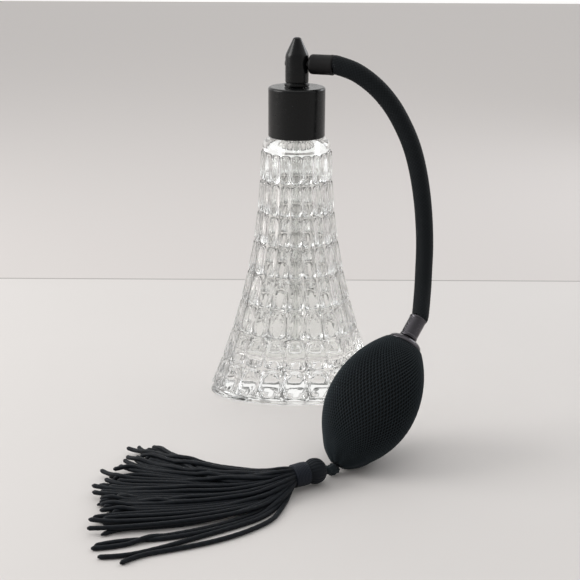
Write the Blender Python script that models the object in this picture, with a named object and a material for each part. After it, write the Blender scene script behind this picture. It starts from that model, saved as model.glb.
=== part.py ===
"""Pressed-glass perfume bottle with a screw-on bulb atomiser.

Frame: origin at the centre of the bottle's underside, +Z up, +X towards the side where the hose leaves the
spray head, -Y towards the front, where the squeeze bulb and its tassel rest. Sizes are in millimetres and are
turned to metres by MM.

Bodies and what moves them:
  bottle            glass_bottle
  pump              slides up out of the neck: gasket, spray stem, dip tube
  collar            turns about Z on the pump
  head              swivels about Z on the pump: head, hose, bulb and its net
  outlet ball       slides along the bulb's axis
  intake ball       slides along the bulb's axis
  tassel            swings about an upright axis at the tied end of the net
"""
import math

import bmesh
import bpy
from mathutils import Vector

MM = 0.001
UP = Vector((0.0, 0.0, 1.0))

# Bottle: an oval, flared body covered in pressed blocks
BODY_HEIGHT = 123.0        # height at which the flare ends
TOP_RADIUS = 16.2          # half width and half depth at the shoulder
FLARE_WIDTH = 26.2         # extra half width at the base
FLARE_DEPTH = 4.3          # extra half depth at the base
COLUMNS = 20
ROW_EDGES = (3.2, 18.0, 33.1, 47.8, 62.8, 77.7, 92.0, 107.0, 121.0)
GROOVE_DEPTH = 1.2
GROOVE_SHARE = 0.13        # half width of an upright groove, as a share of a column
GROOVE_HALF = 1.2          # half height of a level groove
WALL = 4.5
FLOOR = 18.0
SHOULDER = 126.9
NECK_RADIUS = 8.3
NECK_BEAD = 8.9
NECK_TOP = 144.6
NECK_BORE = 6.5
NECK_SIDES = 30

# Screw collar
COLLAR_RADIUS = 13.0
COLLAR_BOTTOM = 127.2
COLLAR_TOP = 149.7
COLLAR_PLATE = 2.5
COLLAR_INSIDE = 9.5
COLLAR_THREAD = 9.2
COLLAR_HOLE = 3.4

# Spray head
HEAD_BOTTOM = 150.0
HEAD_FOOT = 5.7
HEAD_RADIUS = 5.3
HEAD_SHOULDER = 163.7
HEAD_TIP = 171.7
HEAD_TIP_RADIUS = 1.6
HEAD_BORE = 3.3
PORT_HEIGHT = 160.0
PORT_ANGLE = math.radians(-18.0)
HEAD_FERRULE_START = 6.0
HEAD_FERRULE_END = 17.3
HEAD_FERRULE_RADIUS = 4.45

# Bulb: distances along its axis run from the tied tail to the hose
BULB_TAIL = Vector((17.5, -86.7, 3.1))
BULB_AXIS = Vector((0.487, 0.515, 0.705)).normalized()
BULB_RADIUS = 19.4
BULB_WIDEST = 31.3
BULB_TAIL_HALF = 31.8
BULB_NECK_HALF = 35.9
NET_START = 0.4
NET_END = 60.2
NET_THICKNESS = 0.5
GAP = 0.35
RUBBER_WALL = 1.7
DOME_BOTTOM = 60.6
DOME_RADIUS = 7.7
DOME_TOP = 64.1
BULB_FERRULE_START = 64.4
BULB_FERRULE_END = 74.8
BULB_FERRULE_RADIUS = 3.85

# Hose: its centre line between the two ferrules, and its radius at each end
HOSE_ROUTE = (
    (26.4, -8.4, 157.2), (35.0, -10.6, 151.2), (42.2, -12.5, 143.2), (47.9, -14.6, 133.6),
    (51.8, -17.0, 124.4), (54.6, -19.6, 113.8), (56.4, -22.6, 102.8), (57.3, -26.0, 92.3),
    (57.5, -29.6, 82.8), (57.0, -34.0, 74.0), (56.3, -39.0, 65.9),
)
HOSE_HEAD_RADIUS = 4.2
HOSE_BULB_RADIUS = 3.7
HOSE_POINTS = 28
HOSE_LEAD = 1.6            # straight run out of each ferrule

# Tassel
TIE_CENTRE = Vector((15.2, -88.9, 3.0))
TIE_RADIUS = 2.1
KNOB_CENTRE = Vector((8.1, -95.5, 5.8))
KNOB_RADIUS = 5.4
TASSEL_AXIS = Vector((-0.885, -0.465, 0.0)).normalized()
BINDING_START = 3.9
BINDING_END = 10.4
BINDING_RADIUS = 4.8
# Skirt stations: centre x, y, z, half width, half height, heading in degrees from +X
SKIRT_STATIONS = (
    (-1.5, -100.5, 5.6, 4.4, 4.4, 207.7),
    (-11.0, -104.6, 4.8, 9.5, 4.4, 201.0),
    (-24.0, -108.6, 4.1, 17.5, 3.7, 194.0),
    (-39.0, -112.0, 3.5, 24.5, 3.1, 190.0),
    (-55.0, -113.6, 3.2, 30.0, 2.8, 187.0),
    (-69.0, -114.4, 3.0, 34.0, 2.6, 185.0),
    (-79.0, -115.6, 2.6, 33.0, 2.2, 184.0),
    (-82.5, -116.0, 2.2, 25.0, 1.4, 184.0),
)
SKIRT_SIDES = 18


def linear(channel):
    """One sRGB channel from 0 to 1, turned to linear light."""
    return channel / 12.92 if channel <= 0.04045 else ((channel + 0.055) / 1.055) ** 2.4


def make_material(name, hex_colour, roughness, metallic=0.0, transmission=0.0):
    material = bpy.data.materials.new(name)
    material.use_nodes = True
    shader = material.node_tree.nodes["Principled BSDF"]
    channels = [int(hex_colour[i:i + 2], 16) / 255.0 for i in (0, 2, 4)]
    shader.inputs["Base Color"].default_value = [linear(c) for c in channels] + [1.0]
    shader.inputs["Roughness"].default_value = roughness
    shader.inputs["Metallic"].default_value = metallic
    shader.inputs["Transmission Weight"].default_value = transmission
    return material


def clear_scene():
    for obj in list(bpy.data.objects):
        bpy.data.objects.remove(obj, do_unlink=True)


def make_anchor(name, place, parent=None):
    """An empty on a joint's axis. Its world place is kept for the pieces that hang on it."""
    anchor = bpy.data.objects.new(name, None)
    anchor.empty_display_size = 0.01
    bpy.context.scene.collection.objects.link(anchor)
    start = parent.location if parent else Vector((0.0, 0.0, 0.0))
    anchor.parent = parent
    anchor.location = Vector(place) * MM - start
    return anchor


def world_place(anchor):
    place = Vector((0.0, 0.0, 0.0))
    while anchor is not None:
        place += anchor.location
        anchor = anchor.parent
    return place


def hang(obj, anchor, place, direction=UP):
    """Put an object at a place in millimetres, its own Z along direction, parented to an anchor."""
    obj.parent = anchor
    obj.location = Vector(place) * MM - world_place(anchor)
    obj.rotation_mode = "QUATERNION"
    obj.rotation_quaternion = UP.rotation_difference(Vector(direction))
    return obj


def add_mesh(name, mesh_builder, material):
    """Turn a filled bmesh into an object with smooth round faces and sharp corners."""
    mesh = bpy.data.meshes.new(name)
    bmesh.ops.recalc_face_normals(mesh_builder, faces=mesh_builder.faces)
    mesh_builder.to_mesh(mesh)
    mesh_builder.free()
    mesh.materials.append(material)
    mesh.shade_smooth()
    mesh.set_sharp_from_angle(angle=math.radians(35.0))
    obj = bpy.data.objects.new(name, mesh)
    bpy.context.scene.collection.objects.link(obj)
    return obj


def turned(name, profile, sides, material, ring=False):
    """Turn a profile of (radius, height) points in millimetres about Z.

    A ring's profile is a closed outline clear of the axis. Any other profile starts and ends on the axis.
    """
    builder = bmesh.new()
    corners = [builder.verts.new((radius * MM, 0.0, height * MM)) for radius, height in profile]
    outline = [builder.edges.new(pair) for pair in zip(corners, corners[1:])]
    if ring:
        outline.append(builder.edges.new((corners[-1], corners[0])))
    bmesh.ops.spin(builder, geom=corners + outline, cent=(0, 0, 0), axis=(0, 0, 1),
                   angle=2.0 * math.pi, steps=sides, use_merge=True, use_duplicate=False)
    bmesh.ops.remove_doubles(builder, verts=builder.verts, dist=1e-6)
    return add_mesh(name, builder, material)


def add_loop(builder, points):
    """A closed loop of edges through points in millimetres."""
    corners = [builder.verts.new(Vector(point) * MM) for point in points]
    return [builder.edges.new((corner, corners[(i + 1) % len(corners)])) for i, corner in enumerate(corners)]


def skin(builder, loops):
    """Bridge a stack of loops and close both ends with flat faces."""
    for lower, upper in zip(loops, loops[1:]):
        bmesh.ops.bridge_loops(builder, edges=lower + upper)
    for end in (loops[0], loops[-1]):
        bmesh.ops.contextual_create(builder, geom=end)


# ---------------------------------------------------------------------------------------------- bottle

def half_width(height):
    share = max(0.0, (BODY_HEIGHT - height) / BODY_HEIGHT)
    return TOP_RADIUS + FLARE_WIDTH * share ** 2


def half_depth(height):
    share = max(0.0, (BODY_HEIGHT - height) / BODY_HEIGHT)
    return TOP_RADIUS + FLARE_DEPTH * share ** 2


def block_loop(height, sunk, inset=0.0):
    """One level of the blocked wall: three corners to a column, the first in the groove between columns."""
    points = []
    step = 2.0 * math.pi / COLUMNS
    for column in range(COLUMNS):
        start = -0.5 * math.pi - 0.5 * step + column * step
        for share, low in ((0.0, True), (GROOVE_SHARE, False), (1.0 - GROOVE_SHARE, False)):
            depth = inset + (GROOVE_DEPTH if low or sunk else 0.0)
            angle = start + share * step
            points.append(((half_width(height) - depth) * math.cos(angle),
                           (half_depth(height) - depth) * math.sin(angle), height))
    return points


def oval_loop(width, depth, height):
    points = []
    for side in range(NECK_SIDES):
        angle = -0.5 * math.pi + 2.0 * math.pi * side / NECK_SIDES
        points.append((width * math.cos(angle), depth * math.sin(angle), height))
    return points


def make_bottle(material):
    """Blocked outside from the foot to the shoulder, plain neck with two beads, and a smooth thick-floored well."""
    builder = bmesh.new()
    loops = [block_loop(0.0, True, 2.6), block_loop(0.9, True, 0.6)]
    for row, (low, high) in enumerate(zip(ROW_EDGES, ROW_EDGES[1:])):
        if row:
            loops.append(block_loop(low, True))
        loops.append(block_loop(low + GROOVE_HALF, False))
        loops.append(block_loop(high - GROOVE_HALF, False))
    loops.append(block_loop(ROW_EDGES[-1], True))
    shoulder = ((16.0, 122.3), (15.5, 124.4), (13.8, 126.2), (11.8, SHOULDER))
    neck = ((NECK_RADIUS, SHOULDER), (NECK_RADIUS, 131.2), (NECK_BEAD, 131.7), (NECK_BEAD, 132.7),
            (NECK_RADIUS, 133.2), (NECK_RADIUS, 137.2), (NECK_BEAD, 137.7), (NECK_BEAD, 138.7),
            (NECK_RADIUS, 139.2), (NECK_RADIUS, NECK_TOP - 0.4), (NECK_RADIUS - 0.4, NECK_TOP),
            (NECK_BORE + 0.3, NECK_TOP), (NECK_BORE, NECK_TOP - 0.3), (NECK_BORE, 127.0), (8.4, 122.5))
    loops += [oval_loop(radius, radius, height) for radius, height in shoulder + neck]
    for height in (117.0, 98.0, 79.0, 60.0, 42.0, 26.0):
        loops.append(oval_loop(half_width(height) - WALL, half_depth(height) - WALL, height))
    loops.append(oval_loop(half_width(FLOOR) - WALL - 1.2, half_depth(FLOOR) - WALL - 1.2, FLOOR + 2.2))
    loops.append(oval_loop(half_width(FLOOR) - WALL - 5.0, half_depth(FLOOR) - WALL - 4.0, FLOOR))
    edges = [add_loop(builder, points) for points in loops]
    skin(builder, edges)
    return add_mesh("glass_bottle", builder, material)


# ------------------------------------------------------------------------------------------- spray head

def make_collar(material):
    outside = [(COLLAR_RADIUS - 0.3, COLLAR_BOTTOM), (COLLAR_RADIUS, COLLAR_BOTTOM + 0.3)]
    for turn in (0.0, 30.0, 60.0, 90.0):
        angle = math.radians(turn)
        outside.append((COLLAR_RADIUS - 1.0 + math.cos(angle), COLLAR_TOP - 1.0 + math.sin(angle)))
    underside = COLLAR_TOP - COLLAR_PLATE
    inside = [(COLLAR_HOLE, COLLAR_TOP), (COLLAR_HOLE, underside), (COLLAR_INSIDE, underside)]
    for bead in (141.0, 135.0):
        inside += [(COLLAR_INSIDE, bead + 0.8), (COLLAR_THREAD, bead + 0.4),
                   (COLLAR_THREAD, bead - 0.4), (COLLAR_INSIDE, bead - 0.8)]
    inside.append((COLLAR_INSIDE, COLLAR_BOTTOM))
    return turned("screw_collar", outside + inside, 30, material, ring=True)


def make_gasket(material):
    low = NECK_TOP + 0.3
    return turned("collar_gasket", [(6.5, low), (8.9, low), (8.9, low + 0.8), (6.5, low + 0.8)],
                  20, material, ring=True)


def make_stem(material):
    """Plug in the neck, flange under the collar's plate, and the spigot that the head turns on."""
    profile = [(1.8, 140.0), (5.7, 140.0), (6.1, 140.5), (6.1, 146.0), (8.9, 146.0), (8.9, 146.9),
               (2.95, 146.9), (2.95, 151.8), (2.3, 151.8), (2.3, 153.2), (2.95, 153.2), (2.95, 155.6),
               (2.6, 156.0), (1.8, 156.0)]
    return turned("spray_stem", profile, 20, material, ring=True)


def make_dip_tube(material):
    return turned("dip_tube", [(0.9, 21.0), (1.5, 21.0), (1.5, 155.6), (0.9, 155.6)], 12, material, ring=True)


def make_o_ring(material):
    centre = 2.78
    height = 152.5
    section = 0.28
    profile = []
    for side in range(6):
        angle = math.radians(60.0 * side)
        profile.append((centre + section * math.cos(angle), height + section * math.sin(angle)))
    return turned("stem_o_ring", profile, 18, material, ring=True)


def make_cutter(name, radius, start, end, anchor, direction):
    """A plain rod that cuts a side hole in the head, hidden and left out of the model."""
    rod = turned(name, [(0.0, end), (radius, end), (radius, start), (0.0, start)], 16,
                 bpy.data.materials["black_plastic"])
    hang(rod, anchor, (0.0, 0.0, PORT_HEIGHT), direction)
    rod.hide_render = True
    rod.display_type = "WIRE"
    return rod


def make_head(material, anchor, port):
    """Bullet-shaped head: a foot ring, a thin groove, a straight barrel and a cone with a small rounded tip."""
    base = HEAD_BOTTOM
    profile = [(0.0, HEAD_TIP), (HEAD_TIP_RADIUS - 0.5, HEAD_TIP - 0.1), (HEAD_TIP_RADIUS, HEAD_TIP - 0.6),
               (HEAD_RADIUS - 0.3, HEAD_SHOULDER + 0.2), (HEAD_RADIUS, HEAD_SHOULDER - 0.5),
               (HEAD_RADIUS, base + 1.9), (HEAD_RADIUS - 0.25, base + 1.7), (HEAD_RADIUS - 0.25, base + 1.4),
               (HEAD_FOOT, base + 1.2), (HEAD_FOOT, base + 0.2), (HEAD_FOOT - 0.2, base), (HEAD_BORE, base),
               (HEAD_BORE, base + 6.6), (1.0, base + 6.9), (1.0, base + 11.2), (0.0, base + 11.4)]
    head = turned("spray_head", profile, 28, material)
    hang(head, anchor, (0.0, 0.0, 0.0))
    cutters = (make_cutter("port_cutter", 2.0, 0.4, 9.0, anchor, port),
               make_cutter("nozzle_cutter", 1.9, 0.4, 9.0, anchor, -port))
    for cutter in cutters:
        cut = head.modifiers.new(cutter.name, "BOOLEAN")
        cut.operation = "DIFFERENCE"
        cut.object = cutter
    return head


def make_nozzle(material):
    """Orifice insert pressed into the side of the head opposite the hose."""
    profile = [(0.3, 1.9), (1.6, 1.9), (1.6, 5.1), (1.3, 5.4), (0.8, 5.4), (0.3, 4.9)]
    return turned("spray_nozzle", profile, 16, material, ring=True)


def make_inlet_spigot(material):
    """Barbed air inlet between the head and the hose."""
    profile = [(0.8, 1.7), (1.7, 1.7), (1.7, 6.7), (2.9, 6.9), (2.9, 7.6), (2.3, 7.6), (2.8, 9.7), (2.3, 9.9),
               (2.8, 11.8), (2.3, 12.0), (2.3, 14.0), (0.8, 14.0)]
    return turned("inlet_spigot", profile, 16, material, ring=True)


def make_head_ferrule(material):
    start, end, radius = HEAD_FERRULE_START, HEAD_FERRULE_END, HEAD_FERRULE_RADIUS
    profile = [(2.1, start), (radius - 0.4, start), (radius, start + 0.4), (radius, end - 0.2),
               (radius - 0.2, end), (3.4, end), (3.4, start + 0.4), (2.1, start + 0.4)]
    return turned("head_ferrule", profile, 24, material, ring=True)


# ------------------------------------------------------------------------------------------------ hose

def smooth_point(knots, position):
    """A point on the Catmull-Rom curve through the knots, position running from 0 to len(knots) - 1."""
    last = len(knots) - 1
    index = min(int(position), last - 1)
    part = position - index
    before = knots[max(index - 1, 0)]
    start, end = knots[index], knots[index + 1]
    after = knots[min(index + 2, last)]
    return 0.5 * (2.0 * start + (end - before) * part
                  + (2.0 * before - 5.0 * start + 4.0 * end - after) * part ** 2
                  + (3.0 * start - before - 3.0 * end + after) * part ** 3)


def make_hose(material, port):
    """Braided hose, from the head's ferrule to the bulb's, tapering as the braid is drawn down."""
    leave = Vector((0.0, 0.0, PORT_HEIGHT)) + port * (HEAD_FERRULE_END + 0.3)
    arrive = BULB_TAIL + BULB_AXIS * (BULB_FERRULE_END + 0.3)
    route = [Vector(point) for point in HOSE_ROUTE]
    knots = [leave + port * HOSE_LEAD] + route + [arrive + BULB_AXIS * HOSE_LEAD]
    inner = HOSE_POINTS - 3
    path = [smooth_point(knots, (len(knots) - 1) * index / inner) for index in range(inner + 1)]
    path = [leave] + path + [arrive]
    data = bpy.data.curves.new("braided_hose", "CURVE")
    data.dimensions = "3D"
    data.bevel_depth = HOSE_HEAD_RADIUS * MM
    data.bevel_resolution = 3
    data.render_resolution_u = 0
    data.use_fill_caps = True
    data.materials.append(material)
    spline = data.splines.new("POLY")
    spline.points.add(HOSE_POINTS - 1)
    for index, point in enumerate(spline.points):
        share = index / (HOSE_POINTS - 1)
        point.co = (*(path[index] * MM), 1.0)
        point.radius = 1.0 + (HOSE_BULB_RADIUS / HOSE_HEAD_RADIUS - 1.0) * share
    hose = bpy.data.objects.new("braided_hose", data)
    bpy.context.scene.collection.objects.link(hose)
    return hose


# ------------------------------------------------------------------------------------------------ bulb

def bulb_radius(along):
    half = BULB_TAIL_HALF if along < BULB_WIDEST else BULB_NECK_HALF
    share = min(1.0, abs(along - BULB_WIDEST) / half)
    return BULB_RADIUS * (1.0 - share ** 2) ** 0.75


def shell_stations(start, end, count):
    """Stations along the bulb, closer together towards both ends."""
    middle, reach = 0.5 * (start + end), 0.5 * (end - start)
    return [middle - reach * math.cos(math.pi * i / (count - 1)) for i in range(count)]


def make_net(material):
    stations = shell_stations(NET_START, NET_END, 13)
    outside = [(max(1.7, bulb_radius(s)), s) for s in stations]
    inside = [(max(1.1, bulb_radius(s) - NET_THICKNESS), s) for s in reversed(stations)]
    return turned("net_cover", outside + inside, 26, material, ring=True)


def make_rubber_bulb(material):
    """Hollow squeeze bulb with a neck hole for the outlet valve and a tail hole for the intake valve."""
    clear = NET_THICKNESS + GAP
    stations = shell_stations(4.4, 57.4, 11)
    outside = [(bulb_radius(s) - clear, s) for s in stations]
    inside = [(bulb_radius(s) - clear - RUBBER_WALL, s) for s in reversed(stations[1:-1])]
    neck = [(6.6, 59.4), (4.0, 59.4), (4.0, 57.5), (5.2, 57.3)]
    tail = [(4.4, 4.3), (2.5, 4.2), (2.5, 2.6), (4.3, 2.9)]
    return turned("rubber_bulb", outside + neck + inside + tail, 20, material, ring=True)


def make_dome(material):
    """Mushroom cap over the bulb's neck, with the barbed spout that the hose end is crimped on."""
    profile = [(1.0, DOME_BOTTOM), (DOME_RADIUS - 0.3, DOME_BOTTOM), (DOME_RADIUS, DOME_BOTTOM + 0.4),
               (DOME_RADIUS - 0.1, 61.6), (7.0, 62.6), (6.0, 63.3), (4.8, 63.8), (3.6, DOME_TOP),
               (2.6, DOME_TOP), (2.6, 66.5), (2.2, 66.6), (2.6, 68.6), (2.2, 68.7), (2.2, 71.0), (1.0, 71.0)]
    return turned("valve_dome", profile, 24, material, ring=True)


def make_bulb_ferrule(material):
    start, end, radius = BULB_FERRULE_START, BULB_FERRULE_END, BULB_FERRULE_RADIUS
    profile = [(3.0, start), (radius, start), (radius, end - 0.2), (radius - 0.2, end), (3.0, end)]
    return turned("bulb_ferrule", profile, 24, material, ring=True)


def make_valve_housing(material):
    """Outlet valve cage in the bulb's neck: a seat hole below, a chamber for the ball and a stop above."""
    profile = [(1.2, 50.0), (3.0, 50.0), (3.6, 50.6), (3.6, 59.7), (4.6, 59.7), (4.6, 60.25), (1.0, 60.25),
               (1.0, 56.6), (2.3, 56.6), (2.3, 51.5), (1.2, 51.5)]
    return turned("outlet_valve_housing", profile, 20, material, ring=True)


def make_intake_seat(material):
    """Intake valve in the tail of the bulb, its chamber inside the bulb."""
    profile = [(0.7, 1.7), (2.15, 1.7), (2.15, 4.5), (3.4, 4.7), (3.4, 9.3), (1.0, 9.3), (1.0, 8.6), (2.2, 8.6),
               (2.2, 5.2), (0.7, 5.2)]
    return turned("intake_valve_seat", profile, 18, material, ring=True)


def make_ball(name, radius, material):
    profile = [(radius * math.sin(math.radians(30.0 * i)), radius * math.cos(math.radians(30.0 * i)))
               for i in range(7)]
    profile[0] = (0.0, radius)
    profile[-1] = (0.0, -radius)
    return turned(name, profile, 12, material)


# ---------------------------------------------------------------------------------------------- tassel

def make_tie(material):
    """Bunched and knotted end of the net."""
    profile = [(0.0, 2.5), (1.2, 2.3), (1.9, 1.5), (1.6, 0.9), (TIE_RADIUS, 0.2), (1.9, -1.0), (1.2, -1.9),
               (0.0, -2.3)]
    return turned("net_tie", profile, 14, material)


def make_loop(material):
    """Cord loop that joins the tassel to the tied end of the net."""
    profile = []
    for side in range(6):
        angle = math.radians(60.0 * side)
        profile.append((0.75 + 0.4 * math.cos(angle), 0.4 * math.sin(angle)))
    return turned("tassel_loop", profile, 12, material, ring=True)


def make_knob(material):
    profile = [(0.0, -4.8), (1.6, -4.7), (3.3, -4.0), (4.6, -2.7), (5.25, -1.1), (KNOB_RADIUS, 0.4), (5.1, 1.9),
               (4.4, 3.1), (3.8, 3.6), (0.0, 3.6)]
    return turned("tassel_head", list(reversed(profile)), 24, material)


def make_binding(material):
    start, end, radius = BINDING_START, BINDING_END, BINDING_RADIUS
    profile = [(0.0, end), (radius - 0.4, end), (radius, end - 0.5), (radius + 0.1, 0.5 * (start + end)),
               (radius, start + 0.5), (radius - 0.5, start), (0.0, start)]
    return turned("tassel_binding", profile, 24, material)


def make_skirt(material):
    """Fanned cords of the tassel as one plain body: round at the binding, wide and low at the tips."""
    builder = bmesh.new()
    loops = []
    for x, y, z, wide, high, heading in SKIRT_STATIONS:
        across = Vector((-math.sin(math.radians(heading)), math.cos(math.radians(heading)), 0.0))
        points = []
        for side in range(SKIRT_SIDES):
            angle = 2.0 * math.pi * side / SKIRT_SIDES
            points.append(Vector((x, y, z)) + across * wide * math.cos(angle) + UP * high * math.sin(angle))
        loops.append(add_loop(builder, points))
    skin(builder, loops)
    return add_mesh("tassel_skirt", builder, material)


# ------------------------------------------------------------------------------------------------ main

def make_materials():
    make_material("clear_glass", "F4F7F7", 0.04, transmission=1.0)
    make_material("clear_plastic", "EEF1F2", 0.15, transmission=0.9)
    make_material("black_plastic", "111113", 0.28)
    make_material("satin_black", "1B1B1D", 0.55)
    make_material("gunmetal", "55545A", 0.36, metallic=0.8)
    make_material("steel", "B9BBC0", 0.25, metallic=1.0)
    make_material("white_seal", "D8D8D2", 0.5)
    make_material("black_rubber", "141416", 0.65)
    make_material("black_braid", "121416", 0.8)
    make_material("black_net", "15181A", 0.85)
    make_material("black_cord", "14161C", 0.6)
    make_material("navy_thread", "1C2130", 0.5)
    return bpy.data.materials


def make_pump(finish, lift):
    for piece in (make_gasket(finish["white_seal"]), make_stem(finish["black_plastic"]),
                  make_dip_tube(finish["clear_plastic"]), make_o_ring(finish["black_rubber"])):
        hang(piece, lift, (0.0, 0.0, 0.0))


def make_head_pieces(finish, swivel):
    port = Vector((math.cos(PORT_ANGLE), math.sin(PORT_ANGLE), 0.0))
    port_place = (0.0, 0.0, PORT_HEIGHT)
    make_head(finish["black_plastic"], swivel, port)
    hang(make_nozzle(finish["satin_black"]), swivel, port_place, -port)
    hang(make_inlet_spigot(finish["black_plastic"]), swivel, port_place, port)
    hang(make_head_ferrule(finish["satin_black"]), swivel, port_place, port)
    hose = make_hose(finish["black_braid"], port)
    hose.parent = swivel
    hose.location = -world_place(swivel)


def make_bulb_pieces(finish, swivel):
    pieces = (make_bulb_ferrule(finish["gunmetal"]), make_dome(finish["gunmetal"]),
              make_valve_housing(finish["satin_black"]), make_rubber_bulb(finish["black_rubber"]),
              make_intake_seat(finish["steel"]), make_net(finish["black_net"]))
    for piece in pieces:
        hang(piece, swivel, BULB_TAIL, BULB_AXIS)
    hang(make_ball("outlet_valve_ball", 1.9, finish["steel"]), swivel, BULB_TAIL + BULB_AXIS * 53.4, BULB_AXIS)
    hang(make_ball("intake_valve_ball", 1.4, finish["steel"]), swivel, BULB_TAIL + BULB_AXIS * 6.75, BULB_AXIS)
    hang(make_tie(finish["black_net"]), swivel, TIE_CENTRE, TIE_CENTRE - KNOB_CENTRE)


def make_tassel(finish, pivot):
    link = (TIE_CENTRE - KNOB_CENTRE).normalized()
    loop_place = KNOB_CENTRE + link * (0.5 * (TIE_CENTRE - KNOB_CENTRE).length + 1.4)
    hang(make_loop(finish["black_cord"]), pivot, loop_place, link.cross(UP))
    hang(make_knob(finish["black_cord"]), pivot, KNOB_CENTRE, TASSEL_AXIS)
    hang(make_binding(finish["navy_thread"]), pivot, KNOB_CENTRE, TASSEL_AXIS)
    hang(make_skirt(finish["black_cord"]), pivot, (0.0, 0.0, 0.0))


def main():
    clear_scene()
    finish = make_materials()
    lift = make_anchor("lift_axis", (0.0, 0.0, 0.0))
    turn = make_anchor("collar_axis", (0.0, 0.0, COLLAR_TOP), lift)
    swivel = make_anchor("swivel_axis", (0.0, 0.0, HEAD_BOTTOM), lift)
    pivot = make_anchor("tassel_pivot", TIE_CENTRE, swivel)
    make_bottle(finish["clear_glass"])
    make_pump(finish, lift)
    hang(make_collar(finish["black_plastic"]), turn, (0.0, 0.0, 0.0))
    make_head_pieces(finish, swivel)
    make_bulb_pieces(finish, swivel)
    make_tassel(finish, pivot)


if __name__ == "__main__":
    main()
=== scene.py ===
"""Looks of a perfume bottle with a bulb atomiser.

A flared bottle of pressed glass, a black screw collar and bullet-shaped spray head, a braided hose, a rubber
squeeze bulb under a knitted net, and a tassel of satin cords. Each piece is modelled in its final place around
the CAD frame and rides on the CAD body that carries it. Profiles and routes are in millimetres, and MM turns
them to metres.
"""
import math

import bmesh
import bpy
import numpy as np
from bpy.props import FloatProperty, FloatVectorProperty, IntProperty, PointerProperty
from bpy.types import Operator, Panel, PropertyGroup
from mathutils import Matrix, Vector


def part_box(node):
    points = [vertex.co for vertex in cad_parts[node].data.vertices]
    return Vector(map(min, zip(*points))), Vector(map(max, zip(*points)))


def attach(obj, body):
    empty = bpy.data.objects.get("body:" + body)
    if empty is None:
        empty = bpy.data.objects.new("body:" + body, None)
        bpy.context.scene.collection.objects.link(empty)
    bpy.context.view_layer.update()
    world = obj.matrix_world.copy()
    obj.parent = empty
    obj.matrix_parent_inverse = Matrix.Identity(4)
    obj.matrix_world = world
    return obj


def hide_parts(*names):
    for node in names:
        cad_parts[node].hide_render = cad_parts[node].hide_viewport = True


bl_info = {
    "name": "Atomiser bottle",
    "version": (1, 0, 0),
    "blender": (4, 5, 0),
    "location": "View3D > Sidebar > Atomiser",
    "description": "Builds a pressed-glass perfume bottle with a braided hose, a netted squeeze bulb and a tassel",
    "category": "Object",
}

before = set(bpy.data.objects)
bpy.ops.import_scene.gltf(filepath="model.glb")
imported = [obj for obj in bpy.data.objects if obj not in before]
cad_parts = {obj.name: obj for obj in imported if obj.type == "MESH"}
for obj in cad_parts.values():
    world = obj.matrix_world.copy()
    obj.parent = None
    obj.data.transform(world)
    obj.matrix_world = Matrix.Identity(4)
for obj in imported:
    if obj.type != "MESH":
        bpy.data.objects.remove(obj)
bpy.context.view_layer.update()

MM = 0.001
UP = Vector((0.0, 0.0, 1.0))
FULL_TURN = 2.0 * math.pi

# Bottle
BODY_HEIGHT = 123.0
TOP_RADIUS = 16.2
FLARE_WIDTH = 26.2
FLARE_DEPTH = 4.3
COLUMNS = 20
ROW_EDGES = (3.2, 18.0, 33.1, 47.8, 62.8, 77.7, 92.0, 107.0, 121.0)
FLOOR = 18.0
NECK_TOP = 144.6
SMOOTHING = 2
SHRINK = 0.984                 # how far smoothing pulls a ring of 20 points in
THREAD_CLIMB = 2.2             # how far the neck's thread climbs in one turn

# Spray head: the side port's height and direction
PORT_PLACE = (0.0, 0.0, 160.0)
PORT_ANGLE = math.radians(-18.0)
PORT = Vector((math.cos(PORT_ANGLE), math.sin(PORT_ANGLE), 0.0))
HEAD_FERRULE_END = 17.3

# Bulb: distances along its axis run from the tied tail to the hose
BULB_TAIL = Vector((17.5, -86.7, 3.1))
BULB_AXIS = Vector((0.487, 0.515, 0.705)).normalized()
BULB_RADIUS = 19.4
BULB_WIDEST = 31.3
BULB_TAIL_HALF = 31.8
BULB_NECK_HALF = 35.9
NET_START = 0.4
NET_END = 60.2
NET_STRETCH = 1.65             # height of a mesh over its width
NET_LEAST = 1.5                # height of the lowest mesh
BULB_FERRULE_END = 74.8

# Hose: its centre line between the two ferrules
HOSE_ROUTE = (
    (26.4, -8.4, 157.2), (35.0, -10.6, 151.2), (42.2, -12.5, 143.2), (47.9, -14.6, 133.6),
    (51.8, -17.0, 124.4), (54.6, -19.6, 113.8), (56.4, -22.6, 102.8), (57.3, -26.0, 92.3),
    (57.5, -29.6, 82.8), (57.0, -34.0, 74.0), (56.3, -39.0, 65.9),
)
HOSE_LEAD = 1.6
HOSE_GAP = 0.1
HOSE_RINGS = 481
HOSE_SIDES = 96

# Tassel
TIE_CENTRE = Vector((15.2, -88.9, 3.0))
KNOB_CENTRE = Vector((8.1, -95.5, 5.8))
TASSEL_AXIS = Vector((-0.885, -0.465, 0.0)).normalized()
BINDING_START = 3.9
BINDING_END = 10.4
# Where the cords of the fan end on the table, from its far edge to its near one: x, y, and how far each cord bows
# towards the near side on its way. The last four lie loose of the fan.
TASSEL_TIPS = (
    (-61.7, -67.2, 15.0), (-73.4, -69.7, 4.5), (-65.5, -74.3, 5.0), (-73.4, -81.7, 3.5), (-75.7, -85.8, 3.0),
    (-81.9, -94.6, 2.0), (-82.8, -105.7, 3.0), (-81.7, -110.4, 4.0), (-77.4, -116.3, 5.0), (-76.6, -120.8, 6.0),
    (-78.9, -126.9, 7.5), (-79.0, -136.9, 10.5), (-74.4, -145.6, 11.5), (-73.8, -149.5, 7.0),
    (-71.3, -155.0, 9.5), (-65.6, -155.0, 13.5),
)
LOOSE_CORDS = 4
LOWER_CORDS = 36
CORD_POINTS = 44
UPPER_RINGS, UPPER_SIDES = 96, 14
LOWER_RINGS, LOWER_SIDES = 48, 10
CORD_RING = 3.3                # radius of the ring in which the cords leave the band
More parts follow.
